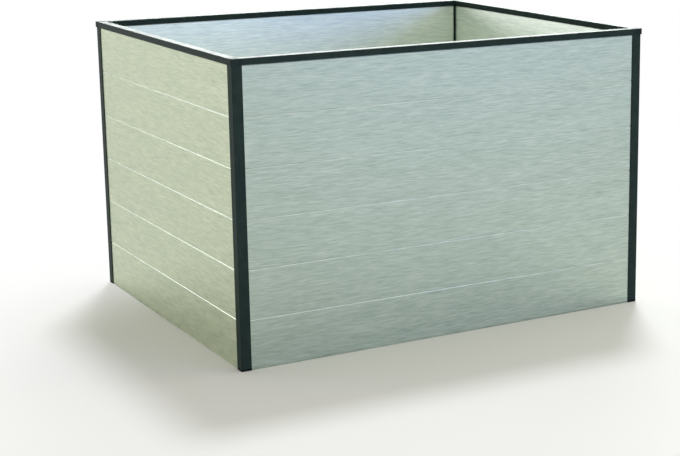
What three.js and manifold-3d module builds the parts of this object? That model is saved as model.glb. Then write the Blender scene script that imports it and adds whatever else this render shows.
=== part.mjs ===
// A raised garden bed without a bottom: four walls of hollow aluminium planks, joined by tongue and groove,
// slid into four slotted corner posts, standing on base rails and plug-in feet, and closed by a rim of rails
// with corner caps. Millimetres, +Z up. X runs along the long walls, Y from the front wall to the back one,
// and the origin is the middle of the ground that the bed covers.

import * as THREE from "three";
import { mergeVertices } from "three/addons/utils/BufferGeometryUtils.js";
import Module from "manifold-3d";

// The whole bed
const bedLength = 1202; // along X, over the rim
const bedWidth = 986; // along Y, over the rim
const plankRows = 6; // planks above each other in one wall
const slideFit = 0.3; // clearance at each side of what slides in or plugs in
const seatGap = 0.3; // left between two faces that rest on each other

// The planks
const plankPitch = 125.4; // wall height that one plank covers
const plankThickness = 20;
const plankWall = 1.3; // skins and webs of the hollow plank
const plankChambers = 4; // hollow chambers above each other
const seamBevel = 1.4; // slope on each long edge: two of them make the V of a seam
const tongueWidth = 8;
const tongueHeight = 8;
const tongueLead = 1.2; // slope at the tip of the tongue
const grooveLead = 0.7; // slope at the mouth of the groove

// The posts
const postWall = 1.5; // core, outer arms and inner arms
const slotDepth = 3.4; // how far the arms reach past the core
const postRadius = 1.2; // outer corner
const coreRadius = 1; // inside corners of the core
const armRadius = 0.5; // tips of the arms

// The base rails and the feet
const basePlate = 1.3; // thickness under the lowest planks
const footPlate = 4.5; // height of a foot under its post
const footPlugHeight = 32;

// The rim
const rimOverhang = 2.4; // how far it stands proud of the posts
const rimHeight = 16;
const rimWall = 1.5;
const rimRadius = 1.8; // long top edges
const rimLowerRadius = 0.5;

// The moulded plugs of the caps and feet
const capWall = 2; // roof, and walls towards the rails
const capSeat = 0.8; // how far its outer walls reach over the top of the post
const capJointRadius = 0.8; // top edges of a cap that meet a rail
const capPlugHeight = 34;
const plugWall = 1.8;
const plugRib = 1.4; // ribs that cross the inside of a plug
const plugLead = 0.9; // slope at the end of a plug
const prongLength = 26; // reach of a cap into each of its rails
const prongWall = 1.4;
const prongTaper = 0.7; // narrowing of a prong's tip at each side

// What follows from them
const plankBottom = basePlate + seatGap;
const plankBody = plankPitch - seatGap; // one plank without its tongue
const plankFace = postWall + slideFit; // from the outer face of a post to that of a plank
const slotWidth = plankThickness + 2 * slideFit;
const postDepth = postWall + slotWidth + postWall; // core of a post, over all
const postFace = postDepth + slotDepth; // visible width of a post
const wallEnd = postDepth + slideFit; // from the corner to the end of planks and rails
const grooveWidth = tongueWidth + 2 * slideFit;
const grooveDepth = tongueHeight - seatGap + slideFit;
const plankMiddle = plankFace + plankThickness / 2; // depth at which the tongues run
const rimBottom = plankBottom + plankRows * plankPitch;
const postSpanX = bedLength - 2 * rimOverhang;
const postSpanY = bedWidth - 2 * rimOverhang;

const aluminium = { color: "#b5c1bb", roughness: 0.38, metalness: 0.9 };
const anthracite = { color: "#2b3533", roughness: 0.45, metalness: 0.2 };
const capPlastic = { color: "#2e3634", roughness: 0.55, metalness: 0 };
const footPlastic = { color: "#141817", roughness: 0.7, metalness: 0 };

const arcSteps = 3; // straight pieces in one rounded corner

const wasm = await Module();
wasm.setup();

// Draws a closed line through corners [a, b, radius]; a corner with no radius stays sharp.
function drawCorners(path, corners) {
  const count = corners.length;
  const at = (i) => new THREE.Vector2(corners[(i + count) % count][0], corners[(i + count) % count][1]);
  for (let i = 0; i < count; i += 1) {
    const corner = at(i);
    const radius = corners[i][2] ?? 0;
    const arrive = at(i - 1).sub(corner).setLength(radius).add(corner);
    const leave = at(i + 1).sub(corner).setLength(radius).add(corner);
    if (i === 0) path.moveTo(arrive.x, arrive.y);
    else path.lineTo(arrive.x, arrive.y);
    if (radius > 0) path.quadraticCurveTo(corner.x, corner.y, leave.x, leave.y);
  }
  path.closePath();
  return path;
}

function profile(corners, ...holes) {
  const shape = drawCorners(new THREE.Shape(), corners);
  for (const hole of holes) shape.holes.push(drawCorners(new THREE.Path(), hole));
  return shape;
}

function rectangle(low, high, bottom, top, radius = 0) {
  return [
    [low, bottom, radius],
    [high, bottom, radius],
    [high, top, radius],
    [low, top, radius],
  ];
}

function extruded(shape, length, bevel = 0) {
  return new THREE.ExtrudeGeometry(shape, {
    depth: length - 2 * bevel,
    curveSegments: arcSteps,
    bevelEnabled: bevel > 0,
    bevelThickness: bevel,
    bevelSize: bevel,
    bevelOffset: -bevel,
    bevelSegments: 1,
  }).translate(0, 0, bevel);
}

// A profile drawn in depth and height, run along a wall from one distance to another.
function alongWall(shape, from, to) {
  const turn = new THREE.Matrix4().makeBasis(
    new THREE.Vector3(0, 1, 0),
    new THREE.Vector3(0, 0, 1),
    new THREE.Vector3(1, 0, 0),
  );
  return extruded(shape, to - from)
    .applyMatrix4(turn)
    .translate(from, 0, 0);
}

// The same profile run across, along the wall that arrives at the corner.
function acrossWall(shape, from, to) {
  const turn = new THREE.Matrix4().makeBasis(
    new THREE.Vector3(1, 0, 0),
    new THREE.Vector3(0, 0, 1),
    new THREE.Vector3(0, -1, 0),
  );
  return extruded(shape, to - from)
    .applyMatrix4(turn)
    .translate(0, to, 0);
}

function upright(shape, bottom, top, bevel = 0) {
  return extruded(shape, top - bottom, bevel).translate(0, 0, bottom);
}

function solidOf(geometry) {
  const bare = geometry.clone();
  bare.deleteAttribute("normal");
  bare.deleteAttribute("uv");
  const welded = mergeVertices(bare);
  const vertProperties = welded.attributes.position.array;
  const triVerts = new Uint32Array(welded.index.array);
  return new wasm.Manifold(new wasm.Mesh({ numProp: 3, vertProperties, triVerts }));
}

function geometryOf(solid) {
  const mesh = solid.getMesh();
  const geometry = new THREE.BufferGeometry();
  geometry.setAttribute("position", new THREE.BufferAttribute(mesh.vertProperties, 3));
  geometry.setIndex(new THREE.BufferAttribute(mesh.triVerts, 1));
  geometry.computeVertexNormals();
  return geometry;
}

function piece(name, geometry, finish) {
  const mesh = new THREE.Mesh(geometry, new THREE.MeshStandardMaterial(finish));
  mesh.name = name;
  return mesh;
}

// The tongue on a shoulder at the given height, from its inner foot to its outer one.
function tongueCorners(middle, shoulder) {
  const half = tongueWidth / 2;
  const tip = shoulder + tongueHeight;
  return [
    [middle + half, shoulder],
    [middle + half, tip - tongueLead],
    [middle + half - tongueLead, tip],
    [middle - half + tongueLead, tip],
    [middle - half, tip - tongueLead],
    [middle - half, shoulder],
  ];
}

// The groove that takes a tongue from below, from its outer lip to its inner one.
function grooveCorners(middle) {
  const half = grooveWidth / 2;
  return [
    [middle - half - grooveLead, 0],
    [middle - half, grooveLead],
    [middle - half, grooveDepth],
    [middle + half, grooveDepth],
    [middle + half, grooveLead],
    [middle + half + grooveLead, 0],
  ];
}

// Cross-section of a plank: bevelled edges, tongue above, groove below, webs between the chambers.
function plankProfile() {
  const outer = plankFace;
  const inner = plankFace + plankThickness;
  const skinOut = outer + plankWall;
  const skinIn = inner - plankWall;
  const hollowTop = plankBody - plankWall;
  const chamberPitch = hollowTop / plankChambers;
  const housing = grooveWidth / 2 + plankWall;
  const housingTop = grooveDepth + plankWall;
  const tongueHollow = tongueWidth / 2 - plankWall;
  const tongueHollowTop = plankBody + tongueHeight - plankWall;
  const body = [
    [outer + seamBevel, 0],
    ...grooveCorners(plankMiddle),
    [inner - seamBevel, 0],
    [inner, seamBevel],
    [inner, plankBody - seamBevel],
    [inner - seamBevel, plankBody],
    ...tongueCorners(plankMiddle, plankBody),
    [outer + seamBevel, plankBody],
    [outer, plankBody - seamBevel],
    [outer, seamBevel],
  ];
  const chambers = [];
  for (let i = 0; i < plankChambers; i += 1) {
    const floor = plankWall + i * chamberPitch;
    const ceiling = floor + chamberPitch - plankWall;
    const aroundGroove = [
      [plankMiddle - housing, floor],
      [plankMiddle - housing, housingTop],
      [plankMiddle + housing, housingTop],
      [plankMiddle + housing, floor],
    ];
    const intoTongue = [
      [plankMiddle + tongueHollow, ceiling],
      [plankMiddle + tongueHollow, tongueHollowTop],
      [plankMiddle - tongueHollow, tongueHollowTop],
      [plankMiddle - tongueHollow, ceiling],
    ];
    chambers.push([
      [skinOut, floor],
      ...(i === 0 ? aroundGroove : []),
      [skinIn, floor],
      [skinIn, ceiling],
      ...(i === plankChambers - 1 ? intoTongue : []),
      [skinOut, ceiling],
    ]);
  }
  return profile(body, ...chambers);
}

// Cross-section of a base rail: a plate on the ground with the tongue for the lowest plank, open below.
function baseRailProfile() {
  const outer = plankFace;
  const inner = plankFace + plankThickness;
  const hollow = tongueWidth / 2 - plankWall;
  const hollowTop = basePlate + tongueHeight - plankWall;
  return profile([
    [outer, 0],
    [plankMiddle - hollow, 0],
    [plankMiddle - hollow, hollowTop],
    [plankMiddle + hollow, hollowTop],
    [plankMiddle + hollow, 0],
    [inner, 0],
    [inner, basePlate],
    ...tongueCorners(plankMiddle, basePlate),
    [outer, basePlate],
  ]);
}

// Depths of the rim rail's two side chambers, which take the prongs of the caps.
const outerChamber = [-rimOverhang + rimWall, plankMiddle - grooveWidth / 2 - rimWall];
const innerChamber = [plankMiddle + grooveWidth / 2 + rimWall, postDepth - rimWall];

// Cross-section of a rim rail: it sits on the shoulders of the top plank, with the tongue in its groove.
function rimRailProfile() {
  const ceiling = rimHeight - rimWall;
  return profile(
    [
      [-rimOverhang, 0, rimLowerRadius],
      ...grooveCorners(plankMiddle),
      [postDepth, 0, rimLowerRadius],
      [postDepth, rimHeight, rimRadius],
      [-rimOverhang, rimHeight, rimRadius],
    ],
    rectangle(...outerChamber, rimWall, ceiling),
    rectangle(
      plankMiddle - grooveWidth / 2,
      plankMiddle + grooveWidth / 2,
      grooveDepth + rimWall,
      ceiling,
    ),
    rectangle(...innerChamber, rimWall, ceiling),
  );
}

// Plan of a post: a square core with two arms at each side, which leave a slot for the wall between them.
function postCorners() {
  const slotOut = postWall;
  const slotIn = postWall + slotWidth;
  return [
    [0, 0, postRadius],
    [postFace, 0, armRadius],
    [postFace, slotOut, armRadius],
    [postDepth, slotOut],
    [postDepth, slotIn],
    [postFace, slotIn, armRadius],
    [postFace, postDepth, armRadius],
    [postDepth, postDepth],
    [postDepth, postFace, armRadius],
    [slotIn, postFace, armRadius],
    [slotIn, postDepth],
    [slotOut, postDepth],
    [slotOut, postFace, armRadius],
    [0, postFace, armRadius],
  ];
}

function coreCorners(inset, radius) {
  const low = postWall + inset;
  const high = postDepth - postWall - inset;
  return rectangle(low, high, low, high, radius);
}

function postGeometry() {
  const plan = profile(postCorners(), coreCorners(0, coreRadius));
  return upright(plan, footPlate, rimBottom - seatGap);
}

// A plug that fits the core of a post, with sloped ends and four pockets that leave a cross of ribs.
function corePlug(bottom, top) {
  const middle = postDepth / 2;
  const half = middle - postWall - slideFit - plugWall;
  const plug = solidOf(upright(profile(coreCorners(slideFit, coreRadius + plugLead)), bottom, top, plugLead));
  const size = half - plugRib / 2;
  const starts = [middle - half, middle + plugRib / 2];
  return starts
    .flatMap((x) => starts.map((y) => profile(rectangle(x, x + size, y, y + size))))
    .map((pocket) => solidOf(upright(pocket, bottom - plugLead, top + plugLead)))
    .reduce((rest, pocket) => rest.subtract(pocket), plug);
}

function footGeometry() {
  const plateTop = footPlate - seatGap;
  const plate = solidOf(upright(profile(postCorners()), 0, plateTop));
  const plug = corePlug(plateTop - plugLead, plateTop + footPlugHeight);
  return geometryOf(plate.add(plug));
}

// One prong of a cap, from the block into a side chamber of a rail, with a tip narrowed to find the chamber.
// A turned prong runs towards +Y, and the other ones towards +X.
function prong(chamber, turned, hollow) {
  const low = chamber[0] + slideFit;
  const high = chamber[1] - slideFit;
  const tip = postDepth + prongLength;
  const bottom = rimWall + slideFit;
  const top = rimHeight - rimWall - slideFit;
  const turn = ([length, depth]) => (turned ? [depth, length] : [length, depth]);
  const plan = (corners) => profile(corners.map(turn));
  const blade = plan([
    [postDepth - capWall, low],
    [tip - 2 * prongTaper, low],
    [tip, low + prongTaper],
    [tip, high - prongTaper],
    [tip - 2 * prongTaper, high],
    [postDepth - capWall, high],
  ]);
  const body = solidOf(upright(blade, bottom, top));
  if (!hollow) return body;
  const pocketEnd = tip - prongWall - prongTaper;
  const pocket = plan(rectangle(postDepth, pocketEnd, low + prongWall, high - prongWall));
  return body.subtract(solidOf(upright(pocket, bottom - prongWall, top - prongWall)));
}

// A corner cap: a rounded block flush with the rails, open below, with its plug and four prongs.
function capGeometry() {
  const low = -rimOverhang;
  const side = profile([
    [low, 0, rimLowerRadius],
    [postDepth, 0],
    [postDepth, rimHeight, capJointRadius],
    [low, rimHeight, rimRadius],
  ]);
  const plan = profile([
    [low, low, rimRadius],
    [postDepth, low],
    [postDepth, postDepth, capJointRadius],
    [low, postDepth],
  ]);
  const block = solidOf(alongWall(side, low, postDepth))
    .intersect(solidOf(acrossWall(side, low, postDepth)))
    .intersect(solidOf(upright(plan, 0, rimHeight)));
  const inside = rectangle(capSeat, postDepth - capWall, capSeat, postDepth - capWall, coreRadius);
  const shell = block.subtract(solidOf(upright(profile(inside), -capWall, rimHeight - capWall)));
  const plug = corePlug(-capPlugHeight, rimHeight - capWall + plugLead);
  const prongs = [false, true].map((turned) =>
    prong(outerChamber, turned, true).add(prong(innerChamber, turned, false)),
  );
  return geometryOf(shell.add(plug).add(prongs[0]).add(prongs[1]));
}

// The four sides in turn: the corner where each begins, the wall that runs from it, and its heading.
const sides = [
  { wall: "front", corner: "front_left", run: postSpanX, x: -postSpanX / 2, y: -postSpanY / 2 },
  { wall: "right", corner: "front_right", run: postSpanY, x: postSpanX / 2, y: -postSpanY / 2 },
  { wall: "back", corner: "back_right", run: postSpanX, x: postSpanX / 2, y: postSpanY / 2 },
  { wall: "left", corner: "back_left", run: postSpanY, x: -postSpanX / 2, y: postSpanY / 2 },
];

const bed = new THREE.Group();
sides.forEach(({ wall, corner, run, x, y }, turn) => {
  const side = new THREE.Group();
  side.position.set(x, y, 0);
  side.rotation.z = (turn * Math.PI) / 2;
  bed.add(side);

  side.add(piece(`foot_${corner}`, footGeometry(), footPlastic));
  side.add(piece(`post_${corner}`, postGeometry(), anthracite));
  const cap = piece(`corner_cap_${corner}`, capGeometry(), capPlastic);
  cap.position.z = rimBottom;
  side.add(cap);

  side.add(piece(`base_rail_${wall}`, alongWall(baseRailProfile(), wallEnd, run - wallEnd), aluminium));
  for (let row = 0; row < plankRows; row += 1) {
    const plank = alongWall(plankProfile(), wallEnd, run - wallEnd);
    const mesh = piece(`plank_${wall}_${row + 1}`, plank, aluminium);
    mesh.position.z = plankBottom + row * plankPitch;
    side.add(mesh);
  }
  const rail = piece(`rim_rail_${wall}`, alongWall(rimRailProfile(), wallEnd, run - wallEnd), anthracite);
  rail.position.z = rimBottom;
  side.add(rail);
});

export default bed;
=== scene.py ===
from math import cos, pi, radians, sin

import bmesh
import bpy
from mathutils import Matrix, Vector


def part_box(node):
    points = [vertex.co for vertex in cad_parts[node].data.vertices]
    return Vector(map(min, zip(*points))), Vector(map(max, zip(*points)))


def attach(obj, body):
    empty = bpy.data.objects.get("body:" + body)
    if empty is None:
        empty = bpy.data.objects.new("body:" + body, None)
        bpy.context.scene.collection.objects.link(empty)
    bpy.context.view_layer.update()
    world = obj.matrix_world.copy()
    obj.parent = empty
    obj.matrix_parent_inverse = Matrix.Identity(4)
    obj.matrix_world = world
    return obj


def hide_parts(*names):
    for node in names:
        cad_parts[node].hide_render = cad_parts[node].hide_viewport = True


# A raised garden bed of brushed aluminium planks in anthracite posts, on a plain pale floor.
# The frame holds its construction; this script gives each surface its finish and its fine shape.
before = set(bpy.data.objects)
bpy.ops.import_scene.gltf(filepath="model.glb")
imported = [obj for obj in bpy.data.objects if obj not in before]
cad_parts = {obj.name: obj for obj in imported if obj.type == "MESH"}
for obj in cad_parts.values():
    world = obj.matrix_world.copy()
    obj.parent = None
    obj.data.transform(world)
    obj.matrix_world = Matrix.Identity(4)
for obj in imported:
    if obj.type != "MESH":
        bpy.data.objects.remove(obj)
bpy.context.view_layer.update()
mm = 0.001  # outlines and grain sizes below are written in millimetres
weldDistance = 0.002 * mm  # points closer than this become one


def linear(hexColour):  # an sRGB hex value as the linear colour that shaders take
    shares = [int(hexColour[i : i + 2], 16) / 255 for i in (1, 3, 5)]
    curved = [s / 12.92 if s <= 0.04045 else ((s + 0.055) / 1.055) ** 2.4 for s in shares]
    return (*curved, 1.0)


# The inputs hold values or sockets to link. A Mix node's go by number: 0 is the share that the second of
# each pair has, 2 and 3 are its numbers, and 6 and 7 its colours.
def addNode(tree, kind, inputs=None, **settings):
    node = tree.nodes.new(kind)
    for name, value in settings.items():
        setattr(node, name, value)
    for name, value in (inputs or {}).items():
        if isinstance(value, bpy.types.NodeSocket):
            tree.links.new(value, node.inputs[name])
        else:
            node.inputs[name].default_value = value
    return node


def newMaterial(name):
    material = bpy.data.materials.new(name)
    material.use_nodes = True
    tree = material.node_tree
    return material, tree, tree.nodes["Principled BSDF"]


cameraView = {
    "place": (-2.0591, -4.0059, 1.2633),  # metres
    "heading": 30.99,  # degrees from +Y towards +X
    "dip": 12.27,  # degrees below the horizon
    "roll": -0.19,  # degrees
    "lens": 85.38,  # millimetres
    "shift": (-0.19, -0.05),
}


def makeCamera():
    camera = bpy.data.objects.new("camera", bpy.data.cameras.new("camera"))
    bpy.context.scene.collection.objects.link(camera)
    camera.data.lens = cameraView["lens"]
    camera.data.shift_x, camera.data.shift_y = cameraView["shift"]
    camera.matrix_world = (
        Matrix.Translation(cameraView["place"])
        @ Matrix.Rotation(-radians(cameraView["heading"]), 4, "Z")
        @ Matrix.Rotation(pi / 2 - radians(cameraView["dip"]), 4, "X")
        @ Matrix.Rotation(radians(cameraView["roll"]), 4, "Z")
    )
    bpy.context.scene.camera = camera


# Each lamp shines from a heading, counted from +Y towards +X, and a height above the horizon. Both are in
# degrees, as its spread is, and its colour is linear.
studioLamps = {
    "keyLamp": {"from": (34.7, 58.5), "spread": 11, "strength": 1.31, "colour": (0.89, 0.9, 1.0)},
    "rimLamp": {"from": (31.0, 13.0), "spread": 30, "strength": 1.94, "colour": (0.95, 1.0, 0.98)},
    "sideLamp": {"from": (-42.0, 0.0), "spread": 40, "strength": 1.08, "colour": (0.94, 0.91, 1.0)},
    "coolLamp": {"from": (150.0, 2.0), "spread": 30, "strength": 0.83, "colour": (0.14, 0.29, 1.0)},
}
surroundings = {  # light that comes from each side, and from below as from above
    "left": (0.0, 0.0, 0.0),
    "right": (1.0, 0.98, 0.86),
    "front": (0.35, 0.35, 0.38),
    "back": (0.0, 0.0, 0.0),
    "above": (0.92, 0.90, 0.80),
}
backdrop = {"Color": (1.0, 1.0, 1.0, 1.0), "Strength": 1.0}  # the plain white that the bed stands before


def headingVector(heading, height):
    across = cos(radians(height))
    return Vector((sin(radians(heading)) * across, cos(radians(heading)) * across, sin(radians(height))))


def lightStudio():
    for name, look in studioLamps.items():
        lamp = bpy.data.objects.new(name, bpy.data.lights.new(name, "SUN"))
        bpy.context.scene.collection.objects.link(lamp)
        lamp.data.energy = look["strength"]
        lamp.data.color = look["colour"]
        lamp.data.angle = radians(look["spread"])
        lamp.rotation_euler = headingVector(*look["from"]).to_track_quat("Z", "Y").to_euler()


def seenRays(tree):  # 1 for the rays that show the backdrop: to the camera, and in metal or glass
    rays = addNode(tree, "ShaderNodeLightPath").outputs
    pair = {0: rays["Is Camera Ray"], 1: rays["Is Glossy Ray"]}
    seen = addNode(tree, "ShaderNodeMath", pair, operation="MAXIMUM").outputs[0]
    through = {0: seen, 1: rays["Is Transmission Ray"]}
    return addNode(tree, "ShaderNodeMath", through, operation="MAXIMUM").outputs[0]


# Each direction's light is mixed from the sides it points to, by the squares of its parts.
def makeWorld():
    world = bpy.data.worlds.new("studioSurroundings")
    world.use_nodes = True
    tree = world.node_tree
    tree.nodes.clear()
    direction = addNode(tree, "ShaderNodeTexCoord").outputs["Generated"]
    part = addNode(tree, "ShaderNodeSeparateXYZ", {0: direction})
    squares = addNode(tree, "ShaderNodeVectorMath", {0: direction, 1: direction}, operation="MULTIPLY")
    share = addNode(tree, "ShaderNodeSeparateXYZ", {0: squares.outputs[0]})
    total = (0.0, 0.0, 0.0)
    for axis, low, high in (("X", "left", "right"), ("Y", "front", "back"), ("Z", "above", "above")):
        isHigh = addNode(tree, "ShaderNodeMath", {0: part.outputs[axis], 1: 0.0}, operation="GREATER_THAN")
        ends = {0: isHigh.outputs[0], 6: (*surroundings[low], 1.0), 7: (*surroundings[high], 1.0)}
        colour = addNode(tree, "ShaderNodeMix", ends, data_type="RGBA")
        scaled = {0: colour.outputs[2], 3: share.outputs[axis]}
        light = addNode(tree, "ShaderNodeVectorMath", scaled, operation="SCALE").outputs[0]
        total = addNode(tree, "ShaderNodeVectorMath", {0: total, 1: light}, operation="ADD").outputs[0]
    lit = addNode(tree, "ShaderNodeBackground", {"Color": total, "Strength": 1.0})
    white = addNode(tree, "ShaderNodeBackground", backdrop)
    mixed = addNode(tree, "ShaderNodeMixShader", {0: seenRays(tree), 1: lit.outputs[0], 2: white.outputs[0]})
    addNode(tree, "ShaderNodeOutputWorld", {"Surface": mixed.outputs[0]})
    world.cycles.sampling_method = "NONE"  # every ray then meets the world that its own kind is given
    bpy.context.scene.world = world


floorLook = {
    "colour": "#f5f5f3",
    "radius": 90.0,  # metres
    "corners": 64,
    "drop": 0.5 * mm,  # keeps the floor clear of the feet
    "shade": (-0.35, -0.75, 0.0),  # the middle of the shadow on the floor, in metres
    "fade": (0.8, 1.7),  # metres from there over which the backdrop's white takes over
}


def makeFloor():
    mesh = bpy.data.meshes.new("studioFloor")
    radius, corners = floorLook["radius"], floorLook["corners"]
    step = 2 * pi / corners
    ring = [(radius * cos(i * step), radius * sin(i * step), 0) for i in range(corners)]
    mesh.from_pydata(ring, [], [range(corners)])
    floor = bpy.data.objects.new("studioFloor", mesh)
    bpy.context.scene.collection.objects.link(floor)
    floor.location.z = -floorLook["drop"]
    material, tree, shader = newMaterial("matte paper sweep")  # even and without gloss
    shader.inputs["Base Color"].default_value = linear(floorLook["colour"])
    shader.inputs["Roughness"].default_value = 1.0
    shader.inputs["Specular IOR Level"].default_value = 0.0
    place = addNode(tree, "ShaderNodeTexCoord").outputs["Object"]
    reach = {0: place, 1: floorLook["shade"]}
    away = addNode(tree, "ShaderNodeVectorMath", reach, operation="DISTANCE").outputs["Value"]
    low, high = floorLook["fade"]
    ends = {"Value": away, "From Min": low, "From Max": high}
    fade = addNode(tree, "ShaderNodeMapRange", ends, interpolation_type="SMOOTHSTEP").outputs["Result"]
    share = addNode(tree, "ShaderNodeMath", {0: seenRays(tree), 1: fade}, operation="MULTIPLY").outputs[0]
    white = addNode(tree, "ShaderNodeEmission", backdrop).outputs[0]
    mixed = addNode(tree, "ShaderNodeMixShader", {0: share, 1: shader.outputs[0], 2: white})
    tree.links.new(mixed.outputs[0], tree.nodes["Material Output"].inputs["Surface"])
    mesh.materials.append(material)


makeCamera()
lightStudio()
makeWorld()
makeFloor()
bpy.context.scene.view_settings.view_transform = "Standard"
print("camera, lamps, surroundings and floor are set")


grainReach = {"From Min": 0.3, "From Max": 0.7}  # nearly all of a grain's values lie between these


# The spots of each layer of grain are as many millimetres across as its size says.
def grainLayers(tree, place, look):
    values = []
    for layer in look["grain"].values():
        scale = [1 / (size * mm) for size in layer["size"]]
        scaled = addNode(tree, "ShaderNodeVectorMath", {0: place, 1: scale}, operation="MULTIPLY")
        spots = {"Vector": scaled.outputs[0], "Scale": 1.0} | layer["noise"]
        values.append(addNode(tree, "ShaderNodeTexNoise", spots).outputs["Fac"])
    return values


# Extruded aluminium. The outer face is brushed along its length with an abrasive belt: a satin metal with
# long faint streaks. The belt misses the seams' slopes and the inside, which keep the press's unbrushed
# skin, drawn brighter than it is as a painted highlight along the seams and painted light inside the bed.
# The belt's real scratches are about 0.1 mm wide; the streaks are drawn as wide as they need to show.
aluminiumLook = {
    "darkStreak": "#919e84",
    "lightStreak": "#c0c7aa",
    # The unbrushed skin drawn brighter than it is: painted highlight on the seams' slopes, painted light
    # inside the bed.
    "skinAndHighlightDark": "#c7d1c8",
    "skinAndHighlightLight": "#f2f9eb",
    "beltAndHighlightReach": (1.85, 2.6),  # the depth in the wall over which the belt stops and the painted highlight begins
    "grain": {  # sizes in depth, height and length
        "streak": {"size": (9.0, 3.4, 52.0), "noise": {"Detail": 3.0, "Roughness": 0.6}},
        "hair": {"size": (4.0, 2.2, 30.0), "noise": {"Detail": 2.0, "Roughness": 0.5}},
        "cloud": {"size": (40.0, 22.0, 260.0), "noise": {"Detail": 1.0}},
    },
    "hairShare": 0.45,
    "cloudShare": 0.1,
    "brushedRoughness": (0.34, 0.44),
    "millRoughness": 0.5,
    "anisotropy": 0.6,
    "anisotropyTurn": 0.25,  # a quarter turn: gloss spreads across the scratches, which run level
    "bump": 0.03,
}


def makeAluminium():
    material, tree, shader = newMaterial("extruded aluminium, brushed outside")
    place = addNode(tree, "ShaderNodeAttribute", attribute_name="grain").outputs["Vector"]
    shift = addNode(tree, "ShaderNodeAttribute", attribute_name="plankShift").outputs["Fac"]
    away = addNode(tree, "ShaderNodeCombineXYZ", {"Z": shift})
    along = addNode(tree, "ShaderNodeVectorMath", {0: place, 1: away.outputs[0]}, operation="ADD").outputs[0]
    streak, hair, cloud = grainLayers(tree, along, aluminiumLook)
    fine = addNode(tree, "ShaderNodeMix", {0: aluminiumLook["hairShare"], 2: streak, 3: hair}).outputs[0]
    tone = addNode(tree, "ShaderNodeMix", {0: aluminiumLook["cloudShare"], 2: fine, 3: cloud}).outputs[0]
    share = addNode(tree, "ShaderNodeMapRange", {"Value": tone} | grainReach).outputs["Result"]
    brushedEnds = {6: linear(aluminiumLook["darkStreak"]), 7: linear(aluminiumLook["lightStreak"])}
    brushed = addNode(tree, "ShaderNodeMix", {0: share} | brushedEnds, data_type="RGBA").outputs[2]
    # Painted highlight and painted light: the seams' slopes and the inside take the brighter skin colour.
    skinAndHighlightEnds = {6: linear(aluminiumLook["skinAndHighlightDark"]), 7: linear(aluminiumLook["skinAndHighlightLight"])}
    skinAndHighlight = addNode(tree, "ShaderNodeMix", {0: share} | skinAndHighlightEnds, data_type="RGBA").outputs[2]
    depth = addNode(tree, "ShaderNodeSeparateXYZ", {0: place}).outputs["X"]
    # Deeper than the belt reaches, the colour is painted highlight on the seams and painted light inside;
    # the roughness there is the unbrushed skin's own.
    near, far = aluminiumLook["beltAndHighlightReach"]
    belt = {"Value": depth, "From Min": near * mm, "From Max": far * mm}
    unbrushedAndHighlit = addNode(tree, "ShaderNodeMapRange", belt).outputs["Result"]
    colour = addNode(tree, "ShaderNodeMix", {0: unbrushedAndHighlit, 6: brushed, 7: skinAndHighlight}, data_type="RGBA").outputs[2]
    smooth, rough = aluminiumLook["brushedRoughness"]
    brushing = {"Value": fine, "To Min": smooth, "To Max": rough} | grainReach
    worn = addNode(tree, "ShaderNodeMapRange", brushing).outputs["Result"]
    ends = {0: unbrushedAndHighlit, 2: worn, 3: aluminiumLook["millRoughness"]}
    roughness = addNode(tree, "ShaderNodeMix", ends).outputs[0]
    relief = {"Height": fine, "Distance": aluminiumLook["bump"] * mm, "Strength": 1.0}
    bump = addNode(tree, "ShaderNodeBump", relief).outputs[0]
    tree.links.new(colour, shader.inputs["Base Color"])
    tree.links.new(roughness, shader.inputs["Roughness"])
    tree.links.new(bump, shader.inputs["Normal"])
    shader.inputs["Metallic"].default_value = 1.0
    shader.inputs["Anisotropic"].default_value = aluminiumLook["anisotropy"]
    shader.inputs["Anisotropic Rotation"].default_value = aluminiumLook["anisotropyTurn"]
    return material


# Anthracite powder coat baked on the extrusion: satin, with the faint orange peel of molten powder.
coatLook = {
    "colour": ("#273531", "#2e3c36"),
    "grain": {
        "peel": {"size": (1.6, 1.6, 1.6), "noise": {"Detail": 2.0}},
        "drift": {"size": (30.0, 30.0, 30.0), "noise": {"Detail": 2.0}},
    },
    "roughness": (0.36, 0.42),
    "specular": 0.028,
    "bump": 0.012,
}
# Caps moulded in ABS against a spark-eroded tool: matte, with a fine even grain. The real grain is about
# 0.1 mm wide; it is drawn as coarse as it needs to show.
capLook = {
    "colour": ("#262f2d", "#2c3734"),
    "grain": {
        "peel": {"size": (0.7, 0.7, 0.7), "noise": {"Detail": 2.0}},
        "drift": {"size": (18.0, 18.0, 18.0), "noise": {"Detail": 2.0}},
    },
    "roughness": (0.42, 0.50),
    "specular": 0.028,
    "bump": 0.02,
}
# Feet moulded in black polypropylene: waxy and duller than the caps, with their grain drawn coarse as well.
footLook = {
    "colour": ("#060807", "#0a0c0b"),
    "grain": {
        "peel": {"size": (0.9, 0.9, 0.9), "noise": {"Detail": 2.0}},
        "drift": {"size": (12.0, 12.0, 12.0), "noise": {"Detail": 2.0}},
    },
    "roughness": (0.6, 0.72),
    "specular": 0.05,
    "bump": 0.02,
}


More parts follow.
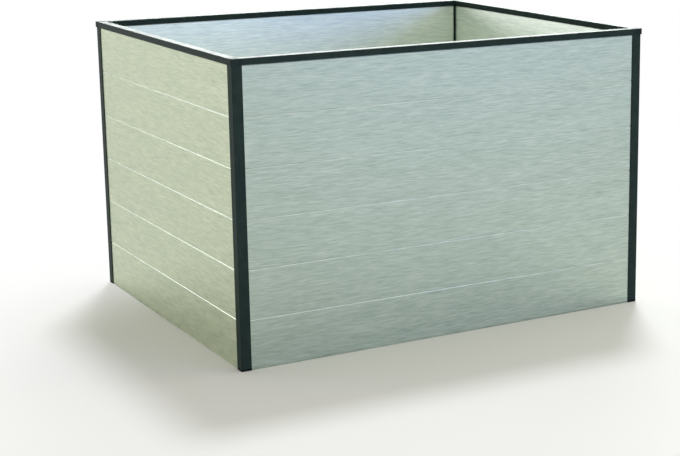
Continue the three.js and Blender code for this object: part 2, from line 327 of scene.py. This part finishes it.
def makeDarkFinish(name, look):
    material, tree, shader = newMaterial(name)
    place = addNode(tree, "ShaderNodeTexCoord").outputs["Object"]
    peel, drift = grainLayers(tree, place, look)
    share = addNode(tree, "ShaderNodeMapRange", {"Value": drift} | grainReach).outputs["Result"]
    dark, light = look["colour"]
    ends = {0: share, 6: linear(dark), 7: linear(light)}
    colour = addNode(tree, "ShaderNodeMix", ends, data_type="RGBA").outputs[2]
    smooth, rough = look["roughness"]
    dullness = {"Value": drift, "To Min": smooth, "To Max": rough} | grainReach
    roughness = addNode(tree, "ShaderNodeMapRange", dullness).outputs["Result"]
    relief = {"Height": peel, "Distance": look["bump"] * mm, "Strength": 1.0}
    bump = addNode(tree, "ShaderNodeBump", relief).outputs[0]
    tree.links.new(colour, shader.inputs["Base Color"])
    tree.links.new(roughness, shader.inputs["Roughness"])
    tree.links.new(bump, shader.inputs["Normal"])
    shader.inputs["Specular IOR Level"].default_value = look["specular"]
    return material


aluminium = makeAluminium()
coat = makeDarkFinish("anthracite powder coat", coatLook)
capPlastic = makeDarkFinish("moulded ABS", capLook)
footPlastic = makeDarkFinish("moulded polypropylene", footLook)
print("materials are made")


# The bed's sizes are read from the frame.
postLow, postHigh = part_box("post_front_left")
plankLow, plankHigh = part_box("plank_front_1")
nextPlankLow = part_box("plank_front_2")[0]
railLow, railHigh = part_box("rim_rail_front")

postFace = (postHigh.x - postLow.x) / mm
plankFace = (plankLow.y - postLow.y) / mm
plankThickness = (plankHigh.y - plankLow.y) / mm
plankMiddle = plankFace + plankThickness / 2
plankPitch = nextPlankLow.z - plankLow.z
plankRows = sum(name.startswith("plank_front_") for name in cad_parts)

# The walls go round anticlockwise, seen from above, and each one begins at the corner named with it.
walls = ["front", "right", "back", "left"]
corners = ["front_left", "front_right", "back_right", "back_left"]
cornerPlaces = [(x * postLow.x, y * postLow.y) for x, y in ((1, 1), (-1, 1), (-1, -1), (1, -1))]
# An outline is drawn in depth and height, and its run becomes the way along the wall.
ontoWall = Matrix(((0, 0, 1, 0), (1, 0, 0, 0), (0, 1, 0, 0), (0, 0, 0, 1)))


def cornerPlace(turn, height):
    x, y = cornerPlaces[turn]
    return Matrix.Translation((x, y, height)) @ Matrix.Rotation(turn * pi / 2, 4, "Z")


def wallPlace(turn, height):
    return cornerPlace(turn, height) @ Matrix.Translation((plankLow.x - postLow.x, 0, 0)) @ ontoWall


def wallRun(node):  # a wall's pieces are longest along it
    low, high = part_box(node)
    return max(high.x - low.x, high.y - low.y)


# An outline's points hold depth, height and corner radius in millimetres.
def rectangle(low, high, bottom, top, radius):
    return [(low, bottom, radius), (high, bottom, radius), (high, top, radius), (low, top, radius)]


plankShifts = (0.0, 90.0)  # metres along the grain by which planks are cut from different stretches of it


# One tree rounds an outline, fills it, runs it to length and stacks the rows.
def makeExtrusionTree():
    tree = bpy.data.node_groups.new("extrusionStack", "GeometryNodeTree")
    face = tree.interface
    face.new_socket("Outline", in_out="INPUT", socket_type="NodeSocketGeometry")
    for name, kind in (
        ("Length", "NodeSocketFloat"),
        ("Rows", "NodeSocketInt"),
        ("Pitch", "NodeSocketFloat"),
        ("Arc Steps", "NodeSocketInt"),
        ("Seed", "NodeSocketInt"),
        ("Finish", "NodeSocketMaterial"),
    ):
        face.new_socket(name, in_out="INPUT", socket_type=kind)
    face.new_socket("Extrusion", in_out="OUTPUT", socket_type="NodeSocketGeometry")

    given = addNode(tree, "NodeGroupInput").outputs
    radius = addNode(tree, "GeometryNodeInputNamedAttribute", {"Name": "cornerRadius"}, data_type="FLOAT")
    line = addNode(tree, "GeometryNodeMeshToCurve", {"Mesh": given["Outline"]})
    arcs = {"Curve": line.outputs[0], "Radius": radius.outputs["Attribute"], "Count": given["Arc Steps"]}
    rounded = addNode(tree, "GeometryNodeFilletCurve", arcs | {"Limit Radius": True}, mode="POLY")
    section = addNode(tree, "GeometryNodeFillCurve", {"Curve": rounded.outputs[0]}, mode="TRIANGLES")
    run = addNode(tree, "ShaderNodeCombineXYZ", {"Z": given["Length"]})
    drawn = {"Mesh": section.outputs[0], "Offset": run.outputs[0], "Individual": False}
    body = addNode(tree, "GeometryNodeExtrudeMesh", drawn, mode="FACES")
    start = addNode(tree, "GeometryNodeFlipFaces", {"Mesh": section.outputs[0]})
    both = addNode(tree, "GeometryNodeJoinGeometry", {0: body.outputs["Mesh"]})
    tree.links.new(start.outputs[0], both.inputs[0])
    welding = {"Geometry": both.outputs[0], "Distance": weldDistance}
    closed = addNode(tree, "GeometryNodeMergeByDistance", welding)

    place = addNode(tree, "GeometryNodeInputPosition").outputs[0]
    single = addNode(
        tree,
        "GeometryNodeStoreNamedAttribute",
        {"Geometry": closed.outputs[0], "Name": "grain", "Value": place},
        data_type="FLOAT_VECTOR",
        domain="POINT",
    )
    step = addNode(tree, "ShaderNodeCombineXYZ", {"Y": given["Pitch"]})
    spacing = {"Count": given["Rows"], "Offset": step.outputs[0]}
    rows = addNode(tree, "GeometryNodeMeshLine", spacing, mode="OFFSET")
    placed = {"Points": rows.outputs[0], "Instance": single.outputs[0]}
    stack = addNode(tree, "GeometryNodeInstanceOnPoints", placed)
    least, most = plankShifts
    draw = {2: least, 3: most, "Seed": given["Seed"]}
    chance = addNode(tree, "FunctionNodeRandomValue", draw, data_type="FLOAT")
    shifted = addNode(
        tree,
        "GeometryNodeStoreNamedAttribute",
        {"Geometry": stack.outputs[0], "Name": "plankShift", "Value": chance.outputs[1]},
        data_type="FLOAT",
        domain="INSTANCE",
    )
    real = addNode(tree, "GeometryNodeRealizeInstances", {0: shifted.outputs[0]})
    finished = {"Geometry": real.outputs[0], "Material": given["Finish"]}
    done = addNode(tree, "GeometryNodeSetMaterial", finished)
    addNode(tree, "NodeGroupOutput", {0: done.outputs[0]})
    return tree


extrusionTree = makeExtrusionTree()


def plainMesh(piece):  # the piece's mesh with its modifier's result in it
    depsgraph = bpy.context.evaluated_depsgraph_get()
    return bpy.data.meshes.new_from_object(piece.evaluated_get(depsgraph), depsgraph=depsgraph)


sharpAngle = 32  # degrees between faces from which an edge stays sharp


def finishPiece(piece, nodes):
    piece.data.shade_smooth()
    piece.data.set_sharp_from_angle(angle=radians(sharpAngle))
    weighted = piece.modifiers.new("weightedNormals", "WEIGHTED_NORMAL")
    weighted.weight = 100  # flat faces stay flat right up to their rounded edges
    weighted.keep_sharp = True
    mesh = plainMesh(piece)
    piece.modifiers.remove(weighted)
    mesh.name = piece.name
    piece.data = mesh
    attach(piece, "root")
    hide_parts(*nodes)


# The loops are a section's closed outlines, and the values are what the tree's inputs of those names get.
def extrusion(name, loops, place, values, nodes):
    outline = bpy.data.meshes.new(name + "Outline")
    points = [point for loop in loops for point in loop]
    edges = []
    for loop in loops:
        first = len(edges)
        edges += [(first + i, first + (i + 1) % len(loop)) for i in range(len(loop))]
    outline.from_pydata([(depth * mm, height * mm, 0) for depth, height, _ in points], edges, [])
    radii = outline.attributes.new("cornerRadius", "FLOAT", "POINT")
    radii.data.foreach_set("value", [radius * mm for _, _, radius in points])
    piece = bpy.data.objects.new(name, outline)
    bpy.context.scene.collection.objects.link(piece)
    modifier = piece.modifiers.new("extrusion", "NODES")
    modifier.node_group = extrusionTree
    for socket in extrusionTree.interface.items_tree:
        if socket.name in values:
            modifier[socket.identifier] = values[socket.name]
    mesh = plainMesh(piece)
    piece.modifiers.remove(modifier)
    mesh.transform(place)
    piece.data = mesh
    bpy.data.meshes.remove(outline)
    finishPiece(piece, nodes)


plankShape = {
    "wall": 1.3,
    "chambers": 4,
    "chamberRadius": 0.4,
    "seamDepth": 1.1,
    "upperSlope": 1.9,  # heights of the slopes at a plank's upper and lower edge
    "lowerSlope": 1.1,
    "seamRadius": 0.35,  # where a slope meets the face
    "seamFootRadius": 0.15,  # where it meets the plank's edge
    "tongueWidth": 8.0,
    "tongueHeight": 8.0,
    "tongueLead": 1.2,
    "tongueRadius": 0.3,
    "grooveSlack": 0.3,
    "grooveLead": 0.7,
    "grooveRadius": 0.2,
    "arcSteps": 4,
    "firstSeed": 11,
}


def tongueCorners(shoulder):
    half = plankShape["tongueWidth"] / 2
    lead, radius = plankShape["tongueLead"], plankShape["tongueRadius"]
    tip = shoulder + plankShape["tongueHeight"]
    return [
        (plankMiddle + half, shoulder, 0.0),
        (plankMiddle + half, tip - lead, radius),
        (plankMiddle + half - lead, tip, radius),
        (plankMiddle - half + lead, tip, radius),
        (plankMiddle - half, tip - lead, radius),
        (plankMiddle - half, shoulder, 0.0),
    ]


def grooveCorners():
    half = plankShape["tongueWidth"] / 2 + plankShape["grooveSlack"]
    lead, radius = plankShape["grooveLead"], plankShape["grooveRadius"]
    depth = plankShape["tongueHeight"]
    return [
        (plankMiddle - half - lead, 0.0, radius),
        (plankMiddle - half, lead, radius),
        (plankMiddle - half, depth, 0.0),
        (plankMiddle + half, depth, 0.0),
        (plankMiddle + half, lead, radius),
        (plankMiddle + half + lead, 0.0, radius),
    ]


def plankBody(outer, inner, top):
    depth, foot = plankShape["seamDepth"], plankShape["seamFootRadius"]
    upper, lower, radius = plankShape["upperSlope"], plankShape["lowerSlope"], plankShape["seamRadius"]
    return [
        (outer + depth, 0.0, foot),
        *grooveCorners(),
        (inner - depth, 0.0, foot),
        (inner, lower, radius),
        (inner, top - upper, radius),
        (inner - depth, top, foot),
        *tongueCorners(top),
        (outer + depth, top, foot),
        (outer, top - upper, radius),
        (outer, lower, radius),
    ]


# The lowest chamber goes round the groove, and the highest one reaches into the tongue.
def plankChamber(level, outer, inner, top):
    wall, radius = plankShape["wall"], plankShape["chamberRadius"]
    pitch = (top - wall) / plankShape["chambers"]
    floor, ceiling = wall + level * pitch, (level + 1) * pitch
    loop = [(outer + wall, floor, radius)]
    if level == 0:
        housing = plankShape["tongueWidth"] / 2 + plankShape["grooveSlack"] + wall
        housingTop = plankShape["tongueHeight"] + wall
        loop += [
            (plankMiddle - housing, floor, 0.0),
            (plankMiddle - housing, housingTop, radius),
            (plankMiddle + housing, housingTop, radius),
            (plankMiddle + housing, floor, 0.0),
        ]
    loop += [(inner - wall, floor, radius), (inner - wall, ceiling, radius)]
    if level == plankShape["chambers"] - 1:
        inTongue = plankShape["tongueWidth"] / 2 - wall
        tip = top + plankShape["tongueHeight"] - wall
        loop += [
            (plankMiddle + inTongue, ceiling, 0.0),
            (plankMiddle + inTongue, tip, plankShape["tongueRadius"]),
            (plankMiddle - inTongue, tip, plankShape["tongueRadius"]),
            (plankMiddle - inTongue, ceiling, 0.0),
        ]
    return [*loop, (outer + wall, ceiling, radius)]


def plankOutline():
    top = (plankHigh.z - plankLow.z) / mm - plankShape["tongueHeight"]
    faces = (plankFace, plankFace + plankThickness, top)
    return [plankBody(*faces), *(plankChamber(level, *faces) for level in range(plankShape["chambers"]))]


for turn, wall in enumerate(walls):
    extrusion(
        f"planks_{wall}",
        plankOutline(),
        wallPlace(turn, plankLow.z),
        {
            "Length": wallRun(f"plank_{wall}_1"),
            "Rows": plankRows,
            "Pitch": plankPitch,
            "Arc Steps": plankShape["arcSteps"],
            "Seed": plankShape["firstSeed"] + turn,
            "Finish": aluminium,
        },
        [f"plank_{wall}_{row + 1}" for row in range(plankRows)],
    )
print("planks are stacked")


postShape = {
    "wall": 1.5,
    "slotWidth": 20.6,
    "outerRadius": 1.2,
    "innerRadius": 0.3,
    "armRadius": 0.5,
    "coreRadius": 1.0,
}
baseShape = {"plate": 1.3, "edgeRadius": 0.25, "mouthRadius": 0.2, "hollowRadius": 0.3}
rimShape = {"wall": 1.5, "overhang": 2.4, "topRadius": 1.8, "lowerRadius": 0.5, "chamberRadius": 0.4}
railArcSteps = 7


def postOutline():
    wall, arm = postShape["wall"], postShape["armRadius"]
    inside = wall + postShape["slotWidth"]
    core = inside + wall
    body = [
        (0.0, 0.0, postShape["outerRadius"]),
        (postFace, 0.0, arm),
        (postFace, wall, arm),
        (core, wall, 0.0),
        (core, inside, 0.0),
        (postFace, inside, arm),
        (postFace, core, arm),
        (core, core, postShape["innerRadius"]),
        (core, postFace, arm),
        (inside, postFace, arm),
        (inside, core, 0.0),
        (wall, core, 0.0),
        (wall, postFace, arm),
        (0.0, postFace, arm),
    ]
    return [body, rectangle(wall, core - wall, wall, core - wall, postShape["coreRadius"])]


def baseOutline():
    inner = plankFace + plankThickness
    hollow = plankShape["tongueWidth"] / 2 - plankShape["wall"]
    hollowTop = baseShape["plate"] + plankShape["tongueHeight"] - plankShape["wall"]
    edge = baseShape["edgeRadius"]
    body = [
        (plankFace, 0.0, edge),
        (plankMiddle - hollow, 0.0, baseShape["mouthRadius"]),
        (plankMiddle - hollow, hollowTop, baseShape["hollowRadius"]),
        (plankMiddle + hollow, hollowTop, baseShape["hollowRadius"]),
        (plankMiddle + hollow, 0.0, baseShape["mouthRadius"]),
        (inner, 0.0, edge),
        (inner, baseShape["plate"], edge),
        *tongueCorners(baseShape["plate"]),
        (plankFace, baseShape["plate"], edge),
    ]
    return [body]


def rimOutline():
    wall, overhang = rimShape["wall"], rimShape["overhang"]
    top = (railHigh.z - railLow.z) / mm
    inner = (railHigh.y - postLow.y) / mm
    groove = plankShape["tongueWidth"] / 2 + plankShape["grooveSlack"]
    over, ceiling, radius = plankShape["tongueHeight"] + wall, top - wall, rimShape["chamberRadius"]
    body = [
        (-overhang, 0.0, rimShape["lowerRadius"]),
        *grooveCorners(),
        (inner, 0.0, rimShape["lowerRadius"]),
        (inner, top, rimShape["topRadius"]),
        (-overhang, top, rimShape["topRadius"]),
    ]
    return [
        body,
        rectangle(wall - overhang, plankMiddle - groove - wall, wall, ceiling, radius),
        rectangle(plankMiddle - groove, plankMiddle + groove, over, ceiling, radius),
        rectangle(plankMiddle + groove + wall, inner - wall, wall, ceiling, radius),
    ]


for turn, (wall, corner) in enumerate(zip(walls, corners)):
    post = f"post_{corner}"
    rim = f"rim_rail_{wall}"
    base = f"base_rail_{wall}"
    coated = {"Rows": 1, "Arc Steps": railArcSteps, "Seed": turn, "Finish": coat}
    upright = coated | {"Length": postHigh.z - postLow.z}
    along = coated | {"Length": wallRun(rim)}
    bare = along | {"Finish": aluminium}
    onFoot = cornerPlace(turn, postLow.z)
    onWall = wallPlace(turn, railLow.z)
    onGround = wallPlace(turn, 0)
    extrusion(f"post_{corner}_coated", postOutline(), onFoot, upright, [post])
    extrusion(f"rim_{wall}_coated", rimOutline(), onWall, along, [rim])
    extrusion(f"base_{wall}_bare", baseOutline(), onGround, bare, [base])
print("posts and rails are run")


# The moulded pieces keep the frame's shape, with its points merged and its faces shaded smooth.
def moulded(name, node, material):
    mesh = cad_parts[node].data.copy()
    shape = bmesh.new()
    shape.from_mesh(mesh)
    bmesh.ops.remove_doubles(shape, verts=shape.verts, dist=weldDistance)
    shape.to_mesh(mesh)
    shape.free()
    mesh.materials.clear()
    mesh.materials.append(material)
    piece = bpy.data.objects.new(name, mesh)
    bpy.context.scene.collection.objects.link(piece)
    finishPiece(piece, [node])


for corner in corners:
    moulded(f"cap_{corner}_moulded", f"corner_cap_{corner}", capPlastic)
    moulded(f"foot_{corner}_moulded", f"foot_{corner}", footPlastic)
print("caps and feet are moulded")
